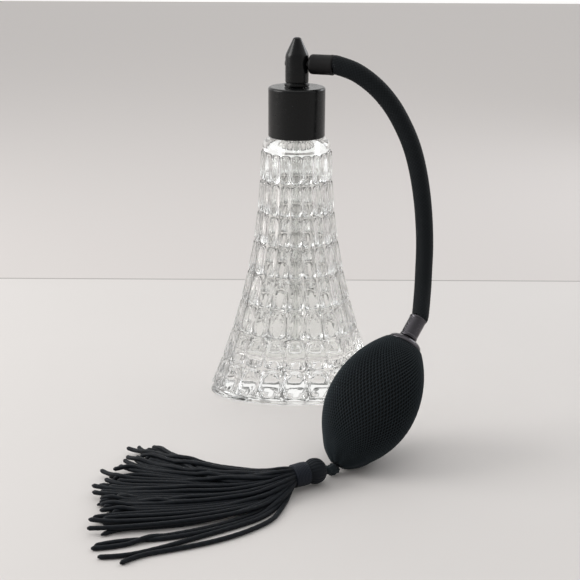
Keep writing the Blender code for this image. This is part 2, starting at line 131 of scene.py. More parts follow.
CORD_LEAN = math.radians(35.0)
SETTLING_ROUNDS = 80

# Stage, in metres: the seam where the table top ends and the board behind it starts, and the camera
SEAM = 0.174
SEAM_WIDTH = 0.0009
CAMERA_PLACE = (-0.00263, -0.506, 0.2245)
CAMERA_DOWN = math.radians(18.8)
CAMERA_ROLL = math.radians(0.3)
LENS = 68.9

MERGE_DISTANCE = 1e-7
SMALL_STEPS = 48               # sides of a small turned piece
SHARP = 40.0                   # faces that meet at more degrees than this keep a sharp edge
EVEN_RELIEF = 0.7              # the relief of a textile that isn't swept, which sets its painted shade and light all over


# ---------- settings

def linear_colour(hex_colour):
    """An sRGB hex colour as linear red, green, blue and alpha."""
    channels = [int(hex_colour[i:i + 2], 16) / 255.0 for i in (0, 2, 4)]
    return [c / 12.92 if c <= 0.04045 else ((c + 0.055) / 1.055) ** 2.4 for c in channels] + [1.0]


def colour_setting(name, description, hex_colour):
    return FloatVectorProperty(name=name, description=description, subtype="COLOR", size=4, min=0.0, max=1.0,
                               default=linear_colour(hex_colour))


def length_setting(name, description, millimetres):
    return FloatProperty(name=name, description=description, default=millimetres * MM, min=0.0,
                         subtype="DISTANCE", unit="LENGTH", precision=5)


def count_setting(name, description, default, low, high):
    return IntProperty(name=name, description=description, default=default, min=low, max=high)


def strength_setting(name, description, strength, unit="POWER"):
    return FloatProperty(name=name, description=description, default=strength, min=0.0, unit=unit)


class GlassSettings(PropertyGroup):
    colour: colour_setting("Glass colour", "Tint of the pressed glass", "FDFEFD")
    wall: length_setting("Wall", "Thickness of the glass wall behind the blocks", 4.5)
    block_relief: length_setting("Block relief", "How far the blocks stand out of the grooves", 1.2)
    block_margin: length_setting("Block margin", "Width of the slope round each block", 0.8)


class FittingSettings(PropertyGroup):
    plastic: colour_setting("Plastic colour", "Polished black of the collar and the spray head", "090A0B")
    sleeve: colour_setting("Sleeve colour", "Satin black of the hose's sleeve at the head", "0B0B0C")
    metal: colour_setting("Metal colour", "Gunmetal plating of the bulb's fittings", "525054")
    steps: count_setting("Steps", "Sides of a turned piece", 96, 24, 160)


class HoseSettings(PropertyGroup):
    colour: colour_setting("Hose colour", "Black polyester yarn of the braid", "121619")
    head_radius: length_setting("Radius at the head", "Outside radius where the hose leaves the spray head", 4.2)
    bulb_radius: length_setting("Radius at the bulb", "Outside radius where the hose meets the bulb", 3.7)
    relief: length_setting("Braid relief", "Height of the yarns over the gaps of the braid", 0.3)
    yarns: count_setting("Yarns", "Yarns that run each way round the hose", 16, 8, 32)


class BulbSettings(PropertyGroup):
    net: colour_setting("Net colour", "Black nylon thread of the net", "20272B")
    rubber: colour_setting("Rubber colour", "Black rubber of the squeeze bulb", "08090B")
    thread: length_setting("Net thread", "Thickness of the net's thread", 0.6)
    columns: count_setting("Net columns", "Meshes of the net round the bulb", 72, 32, 128)


class TasselSettings(PropertyGroup):
    cord: colour_setting("Cord colour", "Blue-black rayon of the tassel's cords", "0E1217")
    thread: colour_setting("Band colour", "Navy thread wound round the neck of the tassel", "1C2028")
    diameter: length_setting("Cord diameter", "Thickness of one satin cord", 1.9)


class StageSettings(PropertyGroup):
    floor: colour_setting("Floor colour", "Pale painted table top", "D0CDCB")
    wall: colour_setting("Wall colour", "Pale board behind the table top", "CAC6C4")
    surroundings: colour_setting("Surroundings", "Pale walls of the studio", "F0EFEE")
    brightness: strength_setting("Brightness", "Strength of the light from the walls", 1.15, "NONE")
    key_power: strength_setting("Key light", "Power of the large soft light on the left", 4.2)
    top_power: strength_setting("Top light", "Power of the soft light overhead", 0.8)
    rim_power: strength_setting("Rim light", "Power of the light behind on the right", 0.9)


class AtomiserSettings(PropertyGroup):
    glass: PointerProperty(type=GlassSettings)
    fittings: PointerProperty(type=FittingSettings)
    hose: PointerProperty(type=HoseSettings)
    bulb: PointerProperty(type=BulbSettings)
    tassel: PointerProperty(type=TasselSettings)
    stage: PointerProperty(type=StageSettings)


# ---------- materials

def add_node(tree, kind, settings=None, inputs=None):
    """Add a node, set its properties, and fill or link its inputs."""
    node = tree.nodes.new(kind)
    for name, value in (settings or {}).items():
        setattr(node, name, value)
    for name, value in (inputs or {}).items():
        if isinstance(value, bpy.types.NodeSocket):
            tree.links.new(value, node.inputs[name])
        else:
            node.inputs[name].default_value = value
    return node


def new_finish(name, **values):
    """A material, its tree and its Principled BSDF, whose sockets are set from plain values."""
    material = bpy.data.materials.new(name)
    material.use_nodes = True
    tree = material.node_tree
    shader = tree.nodes["Principled BSDF"]
    for socket, value in values.items():
        shader.inputs[socket.replace("_", " ")].default_value = value
    return material, tree, shader


def feed(shader, **sockets):
    """Link sockets of the shader to outputs in its tree."""
    for socket, output in sockets.items():
        shader.id_data.links.new(output, shader.inputs[socket.replace("_", " ")])


def grain(tree, size, detail=3.0):
    """Noise in Object coordinates whose lumps are about size millimetres across."""
    place = add_node(tree, "ShaderNodeTexCoord").outputs["Object"]
    return add_node(tree, "ShaderNodeTexNoise", inputs={
        "Vector": place, "Scale": 1.0 / (size * MM), "Detail": detail}).outputs["Fac"]


def between(tree, amount, low, high):
    """A number from low to high, as amount goes from 0.3 to 0.7, the usual reach of noise."""
    return add_node(tree, "ShaderNodeMapRange", inputs={
        "Value": amount, "From Min": 0.3, "From Max": 0.7, "To Min": low, "To Max": high}).outputs["Result"]


def shaded(colour, amount):
    """A colour made lighter or darker by a factor."""
    return [min(1.0, channel * amount) for channel in colour[:3]] + [1.0]


def mixed(tree, amount, low, high):
    """A colour between two colours."""
    return add_node(tree, "ShaderNodeMix", {"data_type": "RGBA"}, {"Factor": amount, 6: low, 7: high}).outputs[2]


def emboss(tree, shader, height, depth, strength=1.0):
    """Bump from a height that runs from 0 to 1, depth millimetres deep."""
    bump = add_node(tree, "ShaderNodeBump", inputs={
        "Height": height, "Distance": depth * MM, "Strength": strength})
    feed(shader, Normal=bump.outputs["Normal"])


def pressed_glass(colour):
    """Soda-lime glass, pressed in a mould and fire-polished: clear and bright, its faces faintly rippled."""
    material, tree, shader = new_finish(
        "pressed_soda_lime_glass", Base_Color=colour, Roughness=0.02, IOR=1.47, Transmission_Weight=1.0)
    emboss(tree, shader, grain(tree, 6.0, 1.0), 0.12)
    return material


def solid_finish(name, colour, lumps, gloss, tones=None, skin=None, **values):
    """A material whose roughness runs over gloss, in lumps of a size in millimetres.

    tones is a size and the factors of the darkest and the lightest colour, and skin a size and a depth of bump.
    """
    material, tree, shader = new_finish(name, Base_Color=colour, **values)
    feed(shader, Roughness=between(tree, grain(tree, lumps), *gloss))
    if tones:
        size, low, high = tones
        feed(shader, Base_Color=mixed(tree, grain(tree, size), shaded(colour, low), shaded(colour, high)))
    if skin:
        size, depth = skin
        emboss(tree, shader, grain(tree, size), depth)
    return material


def polished_plastic(colour):
    """Moulded ABS with a polished face: deep black, soft reflections, a trace of orange peel and of handling."""
    return solid_finish("polished_black_abs", colour, 3.0, (0.2, 0.3), (9.0, 1.0, 1.5), (0.7, 0.006), IOR=1.46,
                        Specular_IOR_Level=0.32)


def satin_sleeve(colour):
    """Heat-set plastic sleeve: black with a dull satin face."""
    return solid_finish("satin_black_sleeve", colour, 1.5, (0.48, 0.62), skin=(0.4, 0.012), IOR=1.46,
                        Specular_IOR_Level=0.25)


def gunmetal_plating(colour):
    """Brass turned and plated gunmetal: dark grey metal, faintly uneven, with a soft, bright highlight."""
    return solid_finish("gunmetal_plated_brass", colour, 1.2, (0.2, 0.3), (4.0, 0.8, 1.15), (0.35, 0.008),
                        Metallic=1.0)


def bright_steel():
    """Polished steel ball: a bright, nearly mirror metal."""
    return solid_finish("polished_steel", linear_colour("C9CACC"), 0.8, (0.10, 0.18), Metallic=1.0)


def clear_tube():
    """Drawn polyethylene tube: milky clear, with a dull gloss."""
    return solid_finish("drawn_polyethylene", linear_colour("FAFBFA"), 2.0, (0.04, 0.1), IOR=1.38,
                        Transmission_Weight=1.0)


def moulded_rubber(colour):
    """Moulded rubber: black with a dry, matt skin."""
    return solid_finish("moulded_black_rubber", colour, 5.0, (0.6, 0.75), (5.0, 1.0, 1.6), (0.5, 0.015), IOR=1.5,
                        Specular_IOR_Level=0.2)


def pale_seal():
    """Foamed polyethylene washer: off-white, matt, finely pored."""
    material, tree, shader = new_finish("foamed_polyethylene", Roughness=0.7)
    pores = grain(tree, 0.3)
    feed(shader, Base_Color=mixed(tree, pores, linear_colour("CFCFC8"), linear_colour("E4E4DF")))
    emboss(tree, shader, pores, 0.03)
    return material


def textile(name, colour, fibre, low, high, roughness, sheen):
    """Yarn with painted shade in its hollows and painted light on its crowns, after the piece's own relief, with
    fine fibres over it.
    """
    material, tree, shader = new_finish(name, Roughness=roughness, IOR=1.5, Specular_IOR_Level=0.15,
                                        Sheen_Weight=sheen, Sheen_Roughness=0.4)
    # painted shade and light: the relief darkens the hollows and lightens the crowns
    relief_shading = add_node(tree, "ShaderNodeAttribute", {"attribute_name": "relief"}).outputs["Fac"]
    fibres = grain(tree, fibre, 4.0)
    lift = add_node(tree, "ShaderNodeMapRange", inputs={"Value": fibres, "To Min": -0.15, "To Max": 0.4})
    tone = add_node(tree, "ShaderNodeMath", {"operation": "MULTIPLY_ADD"},
                    {0: relief_shading, 1: 0.75, 2: lift.outputs["Result"]})
    # the hollows get the darker copy of the colour, which is painted shade, and the crowns the lighter one, which
    # is painted light; the fibres vary it at random
    feed(shader, Base_Color=mixed(tree, tone.outputs["Value"], shaded(colour, low), shaded(colour, high)))
    emboss(tree, shader, fibres, 0.05, 0.6)
    return material


def painted_table(colour, wall):
    """Matt white paint with faint, uneven wear on a table top, and the greyer board that starts behind a seam."""
    material, tree, shader = new_finish("matt_white_paint", Roughness=0.62, IOR=1.45, Specular_IOR_Level=0.25)
    depth = add_node(tree, "ShaderNodeSeparateXYZ", inputs={
        "Vector": add_node(tree, "ShaderNodeTexCoord").outputs["Object"]}).outputs["Y"]
    behind = add_node(tree, "ShaderNodeMath", {"operation": "GREATER_THAN"}, {0: depth, 1: SEAM})
    joint = add_node(tree, "ShaderNodeMath", {"operation": "COMPARE"}, {0: depth, 1: SEAM, 2: SEAM_WIDTH})
    table = mixed(tree, grain(tree, 90.0), shaded(colour, 0.975), colour)
    both = mixed(tree, behind.outputs["Value"], table, wall)
    feed(shader, Base_Color=mixed(tree, joint.outputs["Value"], both, shaded(wall, 0.6)))
    emboss(tree, shader, grain(tree, 1.2), 0.02, 0.4)
    return material


# ---------- mesh tools

def stand(place, direction):
    """The matrix that sets a turned piece at a place in millimetres, its own Z along a direction."""
    turn = UP.rotation_difference(Vector(direction)).to_matrix().to_4x4()
    return Matrix.Translation(Vector(place) * MM) @ turn


def soft_profile(corners, radius, ring=True):
    """Round the corners of a lathe profile, and keep the runs between them straight."""
    points = [Vector(corner) for corner in corners]
    last = len(points) - 1
    result = []
    for index, corner in enumerate(points):
        if not ring and index in (0, last):
            result.append(corner)
            continue
        before = points[index - 1] - corner
        after = points[(index + 1) % len(points)] - corner
        if before.angle(after) > math.radians(165.0):
            result.append(corner)
            continue
        reach = min(radius, 0.36 * before.length, 0.36 * after.length)
        start = corner + before.normalized() * reach
        end = corner + after.normalized() * reach
        result.append(corner + before.normalized() * reach * 1.25)
        for share in (0.0, 0.33, 0.67, 1.0):
            result.append(start.lerp(corner, share).lerp(corner.lerp(end, share), share))
        result.append(corner + after.normalized() * reach * 1.25)
    return [tuple(point) for point in result]


def turn(profile, steps, place, ring=True, relief=None):
    """Spin a profile of radius and height in millimetres about Z, add an optional relief, and set it in place.

    relief gives millimetres to add to the radius, from the radius, the height and the angle round the axis.
    """
    builder = bmesh.new()
    corners = [builder.verts.new((radius * MM, 0.0, height * MM)) for radius, height in profile]
    outline = [builder.edges.new(pair) for pair in zip(corners, corners[1:])]
    if ring:
        outline.append(builder.edges.new((corners[-1], corners[0])))
    bmesh.ops.spin(builder, geom=corners + outline, cent=(0, 0, 0), axis=(0, 0, 1),
                   angle=FULL_TURN, steps=steps, use_merge=True, use_duplicate=False)
    bmesh.ops.remove_doubles(builder, verts=builder.verts, dist=MERGE_DISTANCE)
    if relief:
        for vert in builder.verts:
            radius = math.hypot(vert.co.x, vert.co.y)
            if radius > 1e-6:
                extra = relief(radius / MM, vert.co.z / MM, math.atan2(vert.co.y, vert.co.x)) * MM
                vert.co.x *= 1.0 + extra / radius
                vert.co.y *= 1.0 + extra / radius
    bmesh.ops.recalc_face_normals(builder, faces=builder.faces)
    bmesh.ops.transform(builder, matrix=place, verts=builder.verts)
    return builder


def add_object(name, data):
    """An object with its data, linked to the scene."""
    piece = bpy.data.objects.new(name, data)
    bpy.context.scene.collection.objects.link(piece)
    return piece


def add_mesh(name, builder):
    """An object from a bmesh, which is freed."""
    mesh = bpy.data.meshes.new(name)
    builder.to_mesh(mesh)
    builder.free()
    return add_object(name, mesh)


def finished(name, builder, material, body, node, sharp=SHARP, woven=False):
    """Turn a bmesh into a piece that rides on a body and stands for a CAD node.

    A woven piece that isn't swept is given the relief that its textile reads for its painted shade and light, at
    one height all over.
    """
    piece = add_mesh(name, builder)
    mesh = piece.data
    mesh.materials.append(material)
    mesh.shade_smooth()
    mesh.set_sharp_from_angle(angle=math.radians(sharp))
    if woven:
        heights = [EVEN_RELIEF] * len(mesh.vertices)
        mesh.attributes.new("relief", "FLOAT", "POINT").data.foreach_set("value", heights)
    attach(piece, body)
    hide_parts(node)
    return piece


def smooth_path(knots, count):
    """Evenly spaced points on the Catmull-Rom curve through the knots."""
    knots = np.array([tuple(knot) for knot in knots])
    last = len(knots) - 1
    place = np.linspace(0.0, last, 40 * last + 1)
    index = np.minimum(place.astype(int), last - 1)
    part = (place - index)[:, None]
    before, start = knots[np.maximum(index - 1, 0)], knots[index]
    end, after = knots[index + 1], knots[np.minimum(index + 2, last)]
    curve = 0.5 * (2.0 * start + (end - before) * part
                   + (2.0 * before - 5.0 * start + 4.0 * end - after) * part ** 2
                   + (3.0 * start - before - 3.0 * end + after) * part ** 3)
    return even_path(curve, count)


def path_length(path):
    return float(np.linalg.norm(np.diff(path, axis=0), axis=1).sum())


def even_path(path, count):
    """The same path with points at equal distances."""
    along = np.concatenate(([0.0], np.cumsum(np.linalg.norm(np.diff(path, axis=0), axis=1))))
    wanted = np.linspace(0.0, along[-1], count)
    return np.stack([np.interp(wanted, along, path[:, axis]) for axis in range(3)], axis=1)


def carried_frames(path):
    """Two directions across a path at each of its points, carried along it without twist."""
    tangents = np.gradient(path, axis=0)
    tangents /= np.linalg.norm(tangents, axis=1)[:, None]
    side = np.cross(tangents[0], (0.0, 0.0, 1.0))
    if np.linalg.norm(side) < 0.1:
        side = np.cross(tangents[0], (0.0, 1.0, 0.0))
    sides = []
    for tangent in tangents:
        side = side - tangent * (side @ tangent)
        side = side / np.linalg.norm(side)
        sides.append(side)
    sides = np.array(sides)
    return sides, np.cross(tangents, sides)


def sweep(path, sides, surface):
    """A closed tube along an even path in millimetres.

    surface gives the radius and the relief, from 0 to 1, for arrays of angle and of distance along the path.
    """
    rings = len(path)
    builder = bmesh.new()
    bmesh.ops.create_grid(builder, x_segments=sides, y_segments=rings - 1, size=1.0)
    grid = np.array([vert.co[:2] for vert in builder.verts]) * 0.5 + 0.5
    ring = np.rint(grid[:, 1] * (rings - 1)).astype(int)
    angle = np.rint(grid[:, 0] * sides) / sides * FULL_TURN
    along = ring / (rings - 1) * path_length(path)
    radius, relief = surface(angle, along)
    across, over = carried_frames(path)
    points = path[ring] + radius[:, None] * (np.cos(angle)[:, None] * across[ring]
                                             + np.sin(angle)[:, None] * over[ring])
    # the relief also sets the textile's painted shade in the hollows and painted light on the crowns
    tone = builder.verts.layers.float.new("relief")
    for vert, point, height in zip(builder.verts, points * MM, relief):
        vert.co = point
        vert[tone] = height
    bmesh.ops.remove_doubles(builder, verts=builder.verts, dist=MERGE_DISTANCE)
    ends = [edge for edge in builder.edges if edge.is_boundary]
    caps = bmesh.ops.holes_fill(builder, edges=ends, sides=0)["faces"]
    bmesh.ops.poke(builder, faces=caps)
    bmesh.ops.recalc_face_normals(builder, faces=builder.faces)
    return builder


def bored(piece, radius, start, end, place):
    """Cut a round hole through a piece, from start to end along Z of a place."""
    outline = [(0.0, start), (radius, start), (radius, end), (0.0, end)]
    drill = add_mesh("drill", turn(outline, SMALL_STEPS, place, ring=False))
    cut = piece.modifiers.new("hole", "BOOLEAN")
    cut.operation = "DIFFERENCE"
    cut.object = drill
    shape = piece.evaluated_get(bpy.context.evaluated_depsgraph_get())
    solid = bpy.data.meshes.new_from_object(shape)
    piece.modifiers.remove(cut)
    piece.data = solid
    bpy.data.objects.remove(drill, do_unlink=True)
    solid.set_sharp_from_angle(angle=math.radians(SHARP))


# ---------- glass bottle

def half_sizes(height):
    """Half width and half depth of the flared body at a height."""
    share = max(0.0, (BODY_HEIGHT - height) / BODY_HEIGHT)
    return TOP_RADIUS + FLARE_WIDTH * share ** 2, TOP_RADIUS + FLARE_DEPTH * share ** 2


def bottle_levels(wall, relief):
    """Levels of the glass from the middle of the underside, up the outside and down into the well.

    Each level is (half width, half depth, height, screw), screw being how much of a thread stands there.
    """
    def body(height, inset):
        wide, deep = half_sizes(height)
        return wide - inset, deep - inset, height, 0.0

    def plain(radius, height, screw=0.0):
        return radius, radius, height, screw

    levels = [plain(0.0, 1.1), (16.0, 6.0, 1.1, 0.0), (30.0, 11.0, 1.0, 0.0), body(0.5, 4.6), body(0.0, 3.6),
              body(0.0, 2.0), body(0.3, 0.9), body(1.4, 0.2)]
    levels += [body(edge, relief) for edge in ROW_EDGES]
    levels += [plain(15.9, 122.4), plain(15.4, 124.4), plain(14.0, 126.0), plain(11.8, 126.8), plain(9.0, 127.0),
               plain(8.3, 127.6), plain(8.3, 130.6)]
    for bead in (132.4, 138.4):
        levels += [plain(8.3, bead - 1.0), plain(8.3, bead - 0.5, 0.62), plain(8.3, bead + 0.4, 0.62),
                   plain(8.3, bead + 0.9)]
    levels += [plain(8.3, 142.0), plain(8.3, NECK_TOP - 0.5), plain(7.9, NECK_TOP), plain(6.9, NECK_TOP),
               plain(6.5, NECK_TOP - 0.4), plain(6.5, 140.0), plain(6.5, 130.0), plain(6.6, 127.0),
               plain(8.4, 122.5)]
    levels += [body(height, wall) for height in (117.0, 98.0, 79.0, 60.0, 42.0, 30.0)]
    levels += [body(FLOOR + 6.5, wall + 0.7), body(FLOOR + 3.2, wall + 2.4), body(FLOOR + 1.0, wall + 5.6),
               (14.0, 5.0, FLOOR - 0.2, 0.0), plain(0.0, FLOOR - 0.6)]
    return levels


def make_glass(settings):
    """A 20-sided cage of levels, its grid of faces raised into blocks and the whole then subdivided smooth."""
    relief, wall = settings.block_relief / MM, settings.wall / MM
    levels = bottle_levels(wall, relief)
    first_row = levels.index((*(size - relief for size in half_sizes(ROW_EDGES[0])), ROW_EDGES[0], 0.0))
    builder = bmesh.new()
    bmesh.ops.create_grid(builder, x_segments=COLUMNS, y_segments=len(levels) - 1, size=1.0)
    level_of = {vert: round((vert.co.y * 0.5 + 0.5) * (len(levels) - 1)) for vert in builder.verts}
    rows = range(first_row, first_row + len(ROW_EDGES) - 1)
    blocks = [face for face in builder.faces if min(level_of[vert] for vert in face.verts) in rows]
    step = FULL_TURN / COLUMNS
    for vert in builder.verts:
        column = round((vert.co.x * 0.5 + 0.5) * COLUMNS) % COLUMNS
        wide, deep, height, screw = levels[level_of[vert]]
        angle = -0.5 * math.pi + (column - 0.5) * step
        round_share = column / COLUMNS
        thread = screw * min(1.0, 6.0 * round_share, 6.0 * (1.0 - round_share))
        climb = (round_share - 0.5) * THREAD_CLIMB if screw else 0.0
        vert.co = (MM * (wide + thread) / SHRINK * math.cos(angle),
                   MM * (deep + thread) / SHRINK * math.sin(angle), MM * (height + climb))
    bmesh.ops.remove_doubles(builder, verts=builder.verts, dist=MERGE_DISTANCE)
    bmesh.ops.recalc_face_normals(builder, faces=builder.faces)
    crease = builder.edges.layers.float.new("crease_edge")
    corner = builder.verts.layers.float.new("crease_vert")
    margin = settings.block_margin
    for thickness, depth, sharpness in ((0.2 * margin, 0.0, 0.8), (0.8 * margin, settings.block_relief, 0.8),
                                        (0.45 * MM, 0.08 * MM, 0.5)):
        bmesh.ops.inset_individual(builder, faces=blocks, thickness=thickness, depth=depth, use_even_offset=True)
        for edge in {edge for face in blocks for edge in face.edges}:
            edge[crease] = sharpness
            for vert in edge.verts:
                vert[corner] = sharpness
    bottle = finished("pressed_glass_bottle", builder, pressed_glass(settings.colour), "bottle",
                      "glass_bottle", sharp=180.0)
    smoothing = bottle.modifiers.new("smoothing", "SUBSURF")
    smoothing.levels = SMOOTHING
    smoothing.render_levels = SMOOTHING
    bottle.visible_shadow = False      # clear glass lets the light through to the table


# ---------- collar and pump

def make_collar(settings):
    """Screw collar: plain polished side, rounded top edge, and two thread beads inside."""
    low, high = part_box("screw_collar")
    radius, bottom, top = high.x / MM, low.z / MM, high.z / MM
    plate = top - 2.5
    edge = 1.1
    relief_shading = [(radius - edge + edge * math.sin(math.radians(a)), top - edge + edge * math.cos(math.radians(a)))
             for a in (90, 79, 67, 56, 45, 34, 23, 11, 0)]
    outside = [(radius - 0.25, bottom), (radius, bottom + 0.25), (radius, bottom + 0.6), (radius, top - 1.5),
               *relief_shading, (radius - 1.5, top)]
    inside = [(3.75, top), (3.4, top - 0.35), (3.4, plate), (9.5, plate)]
    for bead in (141.0, 135.0):
        inside += [(9.5, bead + 0.9), (9.2, bead + 0.35), (9.2, bead - 0.35), (9.5, bead - 0.9)]
    inside.append((9.5, bottom))
    finished("polished_screw_collar", turn(outside + inside, settings.steps, Matrix()),
             polished_plastic(settings.plastic), "collar", "screw_collar")


def make_pump(settings):
    """Plug with flange and spigot, and the dip tube that hangs from it."""
    stem = [(1.8, 140.0), (5.7, 140.0), (6.1, 140.5), (6.1, 146.0), (8.9, 146.0), (8.9, 146.9), (2.95, 146.9),
            (2.95, 151.8), (2.3, 151.8), (2.3, 153.2), (2.95, 153.2), (2.95, 155.6), (2.6, 156.0), (1.8, 156.0)]
    plastic = polished_plastic(settings.plastic)
    finished("spray_stem_plug", turn(soft_profile(stem, 0.2), settings.steps, Matrix()), plastic, "pump",
             "spray_stem")
    tube = [(0.9, 21.0), (1.5, 21.0), (1.5, 60.0), (1.5, 110.0), (1.5, 155.6), (0.9, 155.6), (0.9, 110.0),
            (0.9, 60.0)]
    finished("clear_dip_tube", turn(soft_profile(tube, 0.1), 40, Matrix()), clear_tube(), "pump",
             "dip_tube")


def make_head(settings):
    """Bullet-shaped head with a foot ring, its two side bores, the orifice insert and the air inlet."""
    low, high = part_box("spray_head")
    base, tip = low.z / MM, high.z / MM
    shoulder = tip - 8.0
    profile = [(0.0, tip), (0.9, tip - 0.05), (1.75, tip - 0.5), (5.1, shoulder + 0.55), (5.3, shoulder - 0.7),
               (5.3, base + 1.95), (5.05, base + 1.75), (5.05, base + 1.4), (5.7, base + 1.2),
               (5.7, base + 0.2), (5.5, base), (3.3, base), (3.3, base + 6.6), (1.0, base + 6.9),
               (1.0, base + 11.2), (0.0, base + 11.4)]
    material = polished_plastic(settings.plastic)
    shape = turn(soft_profile(profile, 0.7, ring=False), settings.steps, Matrix(), ring=False)
    head = finished("bullet_spray_head", shape, material, "head", "spray_head")
    bored(head, 1.95, 0.4, 9.0, stand(PORT_PLACE, PORT))
    bored(head, 1.85, 0.4, 9.0, stand(PORT_PLACE, -PORT))
    nozzle = [(0.3, 1.9), (1.75, 1.9), (1.75, 5.1), (1.45, 5.4), (0.8, 5.4), (0.3, 4.9)]
    finished("spray_orifice", turn(soft_profile(nozzle, 0.15), SMALL_STEPS, stand(PORT_PLACE, -PORT)),
             satin_sleeve(settings.sleeve), "head", "spray_nozzle")
    spigot = [(0.8, 1.7), (1.8, 1.7), (1.8, 6.65), (2.9, 6.9), (2.9, 7.6), (2.3, 7.6), (2.8, 9.7), (2.3, 9.9),
              (2.8, 11.8), (2.3, 12.0), (2.3, 14.0), (0.8, 14.0)]
    finished("barbed_air_inlet", turn(soft_profile(spigot, 0.15), SMALL_STEPS, stand(PORT_PLACE, PORT)), material,
             "head", "inlet_spigot")


def make_sleeve(settings):
    """Sleeve over the hose's end at the head: rounded nose, straight barrel and a faint lip at its mouth."""
    nose = [(2.1, 6.0), (3.2, 6.0), (4.05, 6.35), (4.4, 7.1), (4.45, 8.2), (4.45, 15.8), (4.55, 16.3),
            (4.55, 17.0), (4.35, HEAD_FERRULE_END), (3.4, HEAD_FERRULE_END), (3.4, 6.5), (2.1, 6.5)]
    finished("hose_sleeve", turn(soft_profile(nose, 0.35), settings.steps, stand(PORT_PLACE, PORT)),
             satin_sleeve(settings.sleeve), "head", "head_ferrule")


# ---------- hose

def braid(angle, along, yarns, pitch):
    """Height from 0 to 1 of a braid whose yarns run both ways round a tube, over one and under one."""
    one = yarns * angle / FULL_TURN + along / pitch
    other = yarns * angle / FULL_TURN - along / pitch
    over = (np.floor(one) + np.floor(other)) % 2 < 1
    across = np.where(over, one, other) % 1.0
    length = np.where(over, other, one) % 1.0
    return np.sqrt(np.sin(np.pi * across).clip(0.0, 1.0)) * (0.35 + 0.65 * np.sin(np.pi * length).clip(0.0, 1.0))


def make_hose(settings):
    """Braided hose, from the sleeve at the head down to the bulb's ferrule."""
    leave = Vector(PORT_PLACE) + PORT * (HEAD_FERRULE_END + HOSE_GAP)
    arrive = BULB_TAIL + BULB_AXIS * (BULB_FERRULE_END + HOSE_GAP)
    knots = [leave, leave + PORT * HOSE_LEAD, *HOSE_ROUTE, arrive + BULB_AXIS * HOSE_LEAD, arrive]
    path = smooth_path(knots, HOSE_RINGS)
    length = path_length(path)
    wide, narrow = settings.head_radius / MM, settings.bulb_radius / MM
    relief = settings.relief / MM
    pitch = FULL_TURN * 0.5 * (wide + narrow) / settings.yarns

    def surface(angle, along):
        height = braid(angle, along, settings.yarns, pitch)
        return wide + (narrow - wide) * along / length + relief * (height - 0.7), height

    hose = finished("braided_air_hose", sweep(path, HOSE_SIDES, surface),
                    textile("braided_polyester_hose", settings.colour, 0.35, 0.25, 1.5, 0.72, 0.05), "head",
                    "braided_hose", sharp=180.0)


# ---------- bulb

def bulb_radius(along):
    half = BULB_TAIL_HALF if along < BULB_WIDEST else BULB_NECK_HALF
    share = min(1.0, abs(along - BULB_WIDEST) / half)
    return BULB_RADIUS * (1.0 - share ** 2) ** 0.75


def make_bulb_fittings(settings):
    """Mushroom cap over the bulb's neck and the ferrule that the hose end is crimped in."""
    metal = gunmetal_plating(settings.metal)
    place = stand(BULB_TAIL, BULB_AXIS)
    dome = [(1.0, 60.6), (7.4, 60.6), (7.75, 60.95), (7.75, 61.5), (7.2, 62.5), (6.3, 63.2), (5.1, 63.75),
            (3.9, 64.05), (3.6, 64.1), (2.6, 64.1), (2.6, 66.5), (2.2, 66.6), (2.6, 68.6), (2.2, 68.7),
            (2.2, 71.0), (1.0, 71.0)]
    finished("bulb_cap", turn(soft_profile(dome, 0.3), settings.steps, place), metal, "head",
             "valve_dome")
    ferrule = [(3.0, 64.4), (3.7, 64.4), (3.95, 64.7), (3.95, 65.6), (3.8, 65.9), (3.8, 73.6), (3.95, 73.9),
               (3.95, 74.5), (3.75, BULB_FERRULE_END), (3.0, BULB_FERRULE_END)]
    finished("hose_ferrule", turn(soft_profile(ferrule, 0.2), settings.steps, place), metal, "head",
             "bulb_ferrule")


def net_stations(columns):
    """Levels of the net along the bulb: its meshes keep their proportion until they gather at the ends."""
    stations = [NET_START + 0.6]
    while stations[-1] < NET_END - NET_LEAST:
        here = stations[-1]
        slope = (bulb_radius(here + 0.2) - bulb_radius(here)) / 0.2
        height = max(NET_LEAST, NET_STRETCH * FULL_TURN * bulb_radius(here) / columns)
        stations.append(here + height / math.hypot(1.0, slope))
    stations[-1] = NET_END
    return stations


def make_bulb(settings):
    """Rubber squeeze bulb under a knitted net of diamond meshes."""
    place = stand(BULB_TAIL, BULB_AXIS)
    start, length, rings = 4.4, 53.0, 40
    stations = [start + length * 0.5 * (1.0 - math.cos(math.pi * i / rings)) for i in range(rings + 1)]
    outside = [(bulb_radius(s) - 0.55, s) for s in stations]
    inside = [(bulb_radius(s) - 2.3, s) for s in reversed(stations[2:-2])]
    neck = [(6.6, 59.4), (4.0, 59.4), (4.0, 57.5), (5.2, 57.3)]
    tail = [(4.4, 4.3), (2.5, 4.2), (2.5, 2.6), (4.3, 2.9)]
    finished("squeeze_bulb", turn(outside + neck + inside + tail, 96, place), moulded_rubber(settings.rubber),
             "head", "rubber_bulb")

    levels = [(max(2.0, bulb_radius(s) - 0.2) + 0.75 * math.exp(-((s - 4.5) / 3.2) ** 2), s)
              for s in net_stations(settings.columns)]

    def gathers(radius, height, angle):
        return -0.5 * max(0.0, 1.0 - height / 10.0) * (1.0 - math.cos(9.0 * angle + 0.5))

    builder = turn(levels, settings.columns, Matrix(), ring=False, relief=gathers)
    cells = [edge for edge in builder.edges if not edge.is_boundary]
    bmesh.ops.poke(builder, faces=builder.faces)
    bmesh.ops.dissolve_edges(builder, edges=cells, use_verts=False)
    bmesh.ops.wireframe(builder, faces=builder.faces, thickness=settings.thread, offset=0.0, use_replace=True,
                        use_boundary=True, use_even_offset=False)
    bmesh.ops.transform(builder, matrix=place, verts=builder.verts)
    net = finished("knitted_net", builder, textile("knitted_nylon_net", settings.net, 0.5, 0.7, 1.4, 0.66, 0.05),
                   "head", "net_cover", sharp=180.0, woven=True)


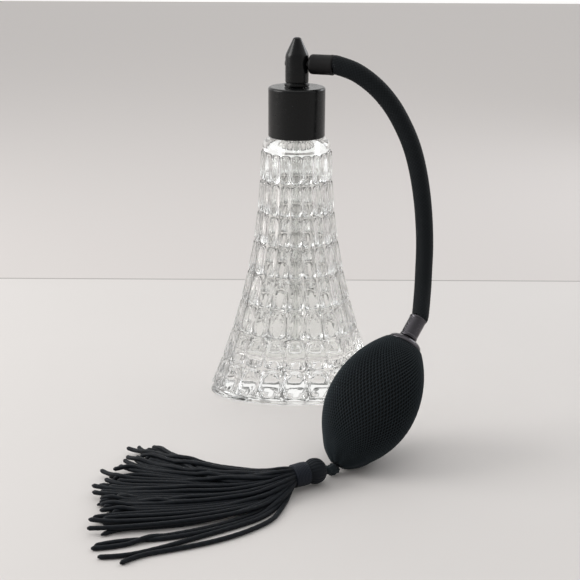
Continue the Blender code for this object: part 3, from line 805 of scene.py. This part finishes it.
def make_tie(settings):
    """Gathered end of the net, bunched in folds and lashed with thread."""
    profile = [(0.0, 3.6), (1.1, 3.5), (1.75, 3.1), (1.75, 2.5), (1.65, 1.9), (2.1, 1.3), (2.4, 0.4),
               (2.3, -0.5), (1.8, -1.0), (1.7, -1.3), (2.0, -1.8), (1.9, -2.5), (1.3, -3.1), (0.6, -3.4),
               (0.0, -3.5)]

    def folds(radius, height, angle):
        return 0.1 * radius * math.cos(9.0 * angle + 1.1 * height) + 0.16 * math.sin(2.0 * angle + height)

    place = stand(TIE_CENTRE, TIE_CENTRE - KNOB_CENTRE)
    finished("gathered_net_tie", turn(profile, 66, place, ring=False, relief=folds),
             textile("gathered_nylon_net", settings.net, 0.5, 0.7, 1.3, 0.66, 0.1), "head", "net_tie",
             sharp=70.0, woven=True)


# ---------- tassel

def make_tassel_head(settings):
    """Knob of doubled cords, the thread wound round its neck, and the loop that holds it to the net."""
    place = stand(KNOB_CENTRE, TASSEL_AXIS)
    outline = [(0.0, -4.8), (0.8, -4.78), (1.6, -4.65), (2.5, -4.35), (3.3, -3.9), (4.0, -3.3), (4.6, -2.6),
               (5.0, -1.8), (5.25, -0.9), (5.4, 0.2), (5.35, 1.1), (5.1, 1.9), (4.75, 2.6), (4.4, 3.1),
               (4.2, 3.6), (4.1, 4.4), (0.0, 4.4)]

    def cords(radius, height, angle):
        return -0.28 * abs(math.sin(11.0 * angle)) ** 8 if radius > 1.0 and height < 4.0 else 0.0

    cloth = textile("satin_cord_knob", settings.cord, 0.6, 0.8, 1.5, 0.6, 0.08)
    finished("tassel_knob", turn(outline, 132, place, ring=False, relief=cords), cloth, "tassel",
             "tassel_head", sharp=180.0, woven=True)

    turns = 10
    pitch = (BINDING_END - BINDING_START) / turns
    profile = [(0.0, BINDING_START)]
    for index in range(turns):
        middle = BINDING_START + (index + 0.5) * pitch
        swell = 4.45 + 0.12 * math.sin(math.pi * (index + 0.5) / turns)
        for share in (-0.96, -0.7, -0.35, 0.0, 0.35, 0.7, 0.96):
            profile.append((swell + 0.34 * math.sqrt(1.0 - share * share), middle + share * 0.5 * pitch))
    profile.append((0.0, BINDING_END))

    def lean(radius, height, angle):
        return 0.05 * math.sin(2.0 * angle + height) if radius > 1.0 else 0.0

    finished("wound_thread_band", turn(profile, 96, place, ring=False, relief=lean),
             textile("wound_navy_thread", settings.thread, 0.3, 0.7, 1.4, 0.55, 0.1), "tassel",
             "tassel_binding", sharp=180.0, woven=True)

    link = (TIE_CENTRE - KNOB_CENTRE).normalized()
    loop_place = KNOB_CENTRE + link * (0.5 * (TIE_CENTRE - KNOB_CENTRE).length + 1.4)
    angles = [FULL_TURN * i / 16 for i in range(16)]
    section = [(0.75 + 0.42 * math.cos(a), 0.42 * math.sin(a)) for a in angles]
    finished("tassel_hanging_loop", turn(section, SMALL_STEPS, stand(loop_place, link.cross(UP))), cloth, "tassel",
             "tassel_loop", woven=True)


def cord_route(place, height, tip, bow, rise, draw):
    """One cord's first route: out of the band, down to the table, and on to its end.

    place runs from -1 at the fan's far edge to 1 at its near one, and height from -1 to 1 across the band.
    """
    along = np.array(TASSEL_AXIS)
    level = np.array(TASSEL_AXIS.cross(UP))
    cosine, sine = math.cos(CORD_LEAN), math.sin(CORD_LEAN)
    start = np.array(KNOB_CENTRE + TASSEL_AXIS * (BINDING_END - 0.4))
    begin = start + CORD_RING * (level * (-place * cosine - height * sine)
                                 + np.array(UP) * (-place * sine + height * cosine))
    end = np.array((tip[0], tip[1], rise))
    share = np.linspace(0.0, 1.0, CORD_POINTS)[:, None]
    reach = np.linalg.norm(end - begin)
    heading = (end - begin) / reach
    sideways = np.cross(UP, heading)
    sideways /= np.linalg.norm(sideways)
    route = begin + (end - begin) * share
    route += sideways * bow * np.sin(np.pi * share ** 0.72)
    straight = begin + along * share * reach
    leave = (1.0 - share / 0.3).clip(0.0, 1.0) ** 2
    route = route + (straight - route) * leave
    wave = draw.uniform(-1.2, 1.2) * np.sin(FULL_TURN * 1.4 * share + draw.uniform(0.0, 3.0)) * share
    curl = draw.uniform(-4.5, 4.5) * ((share - 0.84).clip(0.0) / 0.16) ** 2
    route += sideways * (wave + curl)
    drop = (share / 0.72).clip(0.0, 1.0)
    drop = drop * drop * (3.0 - 2.0 * drop)
    route[:, 2] = (begin[2] + (rise - begin[2]) * drop)[:, 0]
    return even_path(route, CORD_POINTS)


def pulled_back(tip, distance):
    """A cord's end moved back towards the band."""
    band = KNOB_CENTRE + TASSEL_AXIS * BINDING_END
    back = Vector((band.x - tip[0], band.y - tip[1])).normalized() * distance
    return tip[0] + back.x, tip[1] + back.y, tip[2]


def upper_routes(thick):
    """The cords on top: one to each listed end, and two a little shorter between the ends of the fan."""
    ends = []
    last = len(TASSEL_TIPS) - LOOSE_CORDS - 1
    shy = (6.0, 2.0, 9.0, 4.0, 1.0, 7.0, 3.0)
    for index, tip in enumerate(TASSEL_TIPS):
        ends.append((tip, 1.0))
        if index < last:
            following = TASSEL_TIPS[index + 1]
            for share, layer in ((1 / 3, 0.2), (2 / 3, 0.6)):
                middle = [one + (two - one) * share for one, two in zip(tip, following)]
                middle[2] = max(2.0, min(middle[2], 9.0))
                ends.append((pulled_back(middle, shy[len(ends) % len(shy)]), layer))
    draw = np.random.default_rng(11)
    routes = []
    for index, (tip, layer) in enumerate(ends):
        place = index / (len(ends) - 1) * 2.0 - 1.0
        height = math.sqrt(1.0 - place ** 2) * (0.2 + 0.75 * layer)
        loose = index >= len(ends) - LOOSE_CORDS
        rise = 0.5 * thick if loose else (1.5 + layer) * thick
        routes.append(cord_route(place, height, tip, tip[2], rise, draw))
    return np.array(routes), np.array([layer for _, layer in ends])


def lower_routes(thick):
    """The cords underneath, spread evenly over the table below the fan."""
    fan = TASSEL_TIPS[1:len(TASSEL_TIPS) - LOOSE_CORDS]
    draw = np.random.default_rng(5)
    routes = []
    for index in range(LOWER_CORDS):
        share = index / (LOWER_CORDS - 1)
        knot = min(int(share * (len(fan) - 1)), len(fan) - 2)
        part = share * (len(fan) - 1) - knot
        tip = [one + (two - one) * part for one, two in zip(fan[knot], fan[knot + 1])]
        place = share * 1.8 - 0.9
        height = -math.sqrt(1.0 - place ** 2) * (0.3 if index % 2 else 0.85)
        routes.append(cord_route(place, height, pulled_back(tip, draw.uniform(1.0, 9.0)), tip[2],
                                 0.55 * thick, draw))
    return routes


def settled(routes, layers, spacing):
    """Push the cords apart where they touch or cross, and let them sink on to the cords below them."""
    points = routes.copy()
    count = len(points)
    owner = np.repeat(np.arange(count), CORD_POINTS)
    rank = np.repeat(layers + 0.001 * np.arange(count), CORD_POINTS)
    lowest = np.full(count, 1.45 * spacing)
    lowest[-LOOSE_CORDS:] = 0.5 * spacing
    free = (np.linspace(0.0, 1.0, CORD_POINTS) / 0.12).clip(0.0, 1.0)[None, :, None]
    for _ in range(SETTLING_ROUNDS):
        flat = points.reshape(-1, 3)
        square = (flat ** 2).sum(1)
        apart = square[:, None] + square[None, :] - 2.0 * flat @ flat.T
        one, two = np.nonzero((apart < spacing ** 2) & (owner[:, None] < owner[None, :]))
        gap = flat[one] - flat[two]
        gap[:, 2] += 0.4 * np.sign(rank[one] - rank[two])
        size = np.linalg.norm(gap, axis=1).clip(1e-3)
        real = np.linalg.norm(flat[one] - flat[two], axis=1)
        push = gap / size[:, None] * (spacing - real).clip(0.0)[:, None] * 0.3
        moves = np.zeros_like(flat)
        np.add.at(moves, one, push)
        np.add.at(moves, two, -push)
        points += moves.reshape(points.shape).clip(-0.6, 0.6) * free
        points[:, :, 2] -= 0.05 * free[:, :, 0]
        shift = points - routes
        shift[:, 1:-1] = 0.5 * shift[:, 1:-1] + 0.25 * (shift[:, :-2] + shift[:, 2:])
        points = routes + shift
        points[:, 2:, 2] = np.maximum(points[:, 2:, 2], lowest[:, None])
    return points


def cord_surface(radius, length):
    """Radius and relief of a satin cord: gathered thin in the band, two soft plies, and a rounded end."""
    def surface(angle, along):
        ply = np.abs(np.cos(angle - FULL_TURN * along / 7.0))
        squeeze = 0.62 + 0.38 * (along / 10.0).clip(0.0, 1.0)
        tip = np.sqrt(1.0 - ((along - length + 0.8 * radius) / (0.8 * radius)).clip(0.0, 0.9) ** 2)
        return radius * squeeze * tip * (0.94 + 0.06 * ply), ply
    return surface


def make_cords(settings):
    """The tassel's satin cords: each one on top is a piece of its own, and those underneath are one."""
    thick = settings.diameter / MM
    cloth = textile("twisted_rayon_cord", settings.cord, 0.5, 0.6, 1.6, 0.52, 0.05)
    lower = bpy.data.meshes.new("lower_cords")
    heap = bmesh.new()
    for route in lower_routes(thick):
        path = smooth_path(route, LOWER_RINGS)
        tube = sweep(path, LOWER_SIDES, cord_surface(0.5 * thick, path_length(path)))
        tube.to_mesh(lower)
        tube.free()
        heap.from_mesh(lower)
    bpy.data.meshes.remove(lower)
    under = finished("tassel_lower_cords", heap, cloth, "tassel", "tassel_skirt", sharp=180.0)
    routes, layers = upper_routes(thick)
    for index, route in enumerate(settled(routes, layers, thick)):
        path = smooth_path(route, UPPER_RINGS)
        length = path_length(path)
        tube = sweep(path, UPPER_SIDES, cord_surface(0.5 * thick, length))
        cord = finished(f"tassel_cord_{index + 1:02d}", tube, cloth, "tassel", "tassel_skirt",
                        sharp=180.0)


# ---------- carried nodes

def finish_inner_nodes():
    """Materials of the small CAD pieces that keep their own shape."""
    seal, rubber, steel = pale_seal(), moulded_rubber(linear_colour("101113")), bright_steel()
    housing = satin_sleeve(linear_colour("121214"))
    for node, material in (("collar_gasket", seal), ("stem_o_ring", rubber), ("outlet_valve_housing", housing),
                           ("outlet_valve_ball", steel), ("intake_valve_seat", steel),
                           ("intake_valve_ball", steel)):
        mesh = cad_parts[node].data
        mesh.materials.clear()
        mesh.materials.append(material)


# ---------- stage

def make_floor(settings):
    builder = bmesh.new()
    bmesh.ops.create_grid(builder, x_segments=8, y_segments=8, size=2.5)
    floor = add_mesh("table_top", builder)
    floor.data.materials.append(painted_table(settings.floor, settings.wall))


def add_soft_light(name, place, target, size, power, hex_colour):
    data = bpy.data.lights.new(name, "AREA")
    data.shape = "DISK"
    data.size = size
    data.energy = power
    data.color = linear_colour(hex_colour)[:3]
    lamp = add_object(name, data)
    lamp.location = place
    lamp.rotation_euler = (Vector(target) - Vector(place)).to_track_quat("-Z", "Y").to_euler()


def make_camera():
    """A long lens in front of the bottle and above it, turned a third of a degree clockwise."""
    data = bpy.data.cameras.new("camera")
    data.sensor_width = 36.0
    data.lens = LENS
    data.clip_start = 0.01
    camera = add_object("camera", data)
    camera.location = CAMERA_PLACE
    tilt = Matrix.Rotation(math.radians(90.0) - CAMERA_DOWN, 4, "X")
    roll = Matrix.Rotation(CAMERA_ROLL, 4, "Z")
    camera.rotation_euler = (tilt @ roll).to_euler()
    bpy.context.scene.camera = camera


# ---------- operators

class ATOMISER_OT_stage(Operator):
    """Set up the table top, the soft studio light and the camera"""
    bl_idname = "atomiser.stage"
    bl_label = "Stage"

    def execute(self, context):
        settings = context.scene.atomiser.stage
        make_camera()
        make_floor(settings)
        world = bpy.data.worlds.new("studio")
        context.scene.world = world
        world.use_nodes = True
        tree = world.node_tree
        facing = add_node(tree, "ShaderNodeSeparateXYZ", inputs={
            "Vector": add_node(tree, "ShaderNodeTexCoord").outputs["Generated"]}).outputs["Y"]
        nearness = add_node(tree, "ShaderNodeMapRange", inputs={
            "Value": facing, "From Min": -0.75, "From Max": 0.1}).outputs["Result"]
        tree.links.new(mixed(tree, nearness, shaded(settings.surroundings, 0.42), settings.surroundings),
                       tree.nodes["Background"].inputs["Color"])
        tree.nodes["Background"].inputs["Strength"].default_value = settings.brightness
        add_soft_light("key_light", (-0.78, -0.05, 0.46), (0.0, -0.02, 0.08), 0.55, settings.key_power, "FFFDFB")
        add_soft_light("top_light", (-0.1, 0.1, 1.15), (0.0, -0.03, 0.0), 1.1, settings.top_power, "FFFFFF")
        add_soft_light("rim_light", (0.55, 0.42, 0.36), (0.0, 0.0, 0.09), 0.3, settings.rim_power, "F8FAFF")
        context.scene.view_settings.view_transform = "Standard"
        return {"FINISHED"}


class ATOMISER_OT_hose(Operator):
    """Make the braided hose"""
    bl_idname = "atomiser.hose"
    bl_label = "Braided hose"

    def execute(self, context):
        make_hose(context.scene.atomiser.hose)
        return {"FINISHED"}


class ATOMISER_OT_cords(Operator):
    """Make the satin cords of the tassel"""
    bl_idname = "atomiser.cords"
    bl_label = "Tassel cords"

    def execute(self, context):
        make_cords(context.scene.atomiser.tassel)
        return {"FINISHED"}


class ATOMISER_OT_glass(Operator):
    """Make the pressed-glass bottle"""
    bl_idname = "atomiser.glass"
    bl_label = "Glass bottle"

    def execute(self, context):
        make_glass(context.scene.atomiser.glass)
        return {"FINISHED"}


class ATOMISER_OT_collar(Operator):
    """Make the screw collar"""
    bl_idname = "atomiser.collar"
    bl_label = "Screw collar"

    def execute(self, context):
        make_collar(context.scene.atomiser.fittings)
        return {"FINISHED"}


class ATOMISER_OT_pump(Operator):
    """Make the spray stem and its dip tube, and finish the seals and valves"""
    bl_idname = "atomiser.pump"
    bl_label = "Stem, tube and valves"

    def execute(self, context):
        make_pump(context.scene.atomiser.fittings)
        finish_inner_nodes()
        return {"FINISHED"}


class ATOMISER_OT_head(Operator):
    """Make the spray head, its orifice, its air inlet and the hose's sleeve"""
    bl_idname = "atomiser.head"
    bl_label = "Spray head"

    def execute(self, context):
        make_head(context.scene.atomiser.fittings)
        make_sleeve(context.scene.atomiser.fittings)
        return {"FINISHED"}


class ATOMISER_OT_bulb(Operator):
    """Make the squeeze bulb, its net and tie, and the metal fittings at its neck"""
    bl_idname = "atomiser.bulb"
    bl_label = "Squeeze bulb"

    def execute(self, context):
        make_bulb(context.scene.atomiser.bulb)
        make_tie(context.scene.atomiser.bulb)
        make_bulb_fittings(context.scene.atomiser.fittings)
        return {"FINISHED"}


class ATOMISER_OT_tassel_head(Operator):
    """Make the tassel's knob, its thread band and its loop"""
    bl_idname = "atomiser.tassel_head"
    bl_label = "Tassel head"

    def execute(self, context):
        make_tassel_head(context.scene.atomiser.tassel)
        return {"FINISHED"}


STEPS = (ATOMISER_OT_stage, ATOMISER_OT_hose, ATOMISER_OT_cords, ATOMISER_OT_glass, ATOMISER_OT_collar,
         ATOMISER_OT_pump, ATOMISER_OT_head, ATOMISER_OT_bulb, ATOMISER_OT_tassel_head)


class ATOMISER_PT_panel(Panel):
    """The atomiser's pieces and their settings"""
    bl_idname = "ATOMISER_PT_panel"
    bl_label = "Atomiser bottle"
    bl_space_type = "VIEW_3D"
    bl_region_type = "UI"
    bl_category = "Atomiser"

    def draw(self, context):
        for step in STEPS:
            self.layout.operator(step.bl_idname)
        for group_name in AtomiserSettings.__annotations__:
            group = getattr(context.scene.atomiser, group_name)
            box = self.layout.box()
            box.label(text=group_name.capitalize())
            for setting in type(group).__annotations__:
                box.prop(group, setting)


CLASSES = (GlassSettings, FittingSettings, HoseSettings, BulbSettings, TasselSettings, StageSettings,
           AtomiserSettings, *STEPS, ATOMISER_PT_panel)


def register():
    for cls in CLASSES:
        bpy.utils.register_class(cls)
    bpy.types.Scene.atomiser = PointerProperty(type=AtomiserSettings)


def unregister():
    del bpy.types.Scene.atomiser
    for cls in reversed(CLASSES):
        bpy.utils.unregister_class(cls)


def main():
    register()
    for step in STEPS:
        group, name = step.bl_idname.split(".")
        getattr(getattr(bpy.ops, group), name)()


if __name__ == "__main__":
    main()
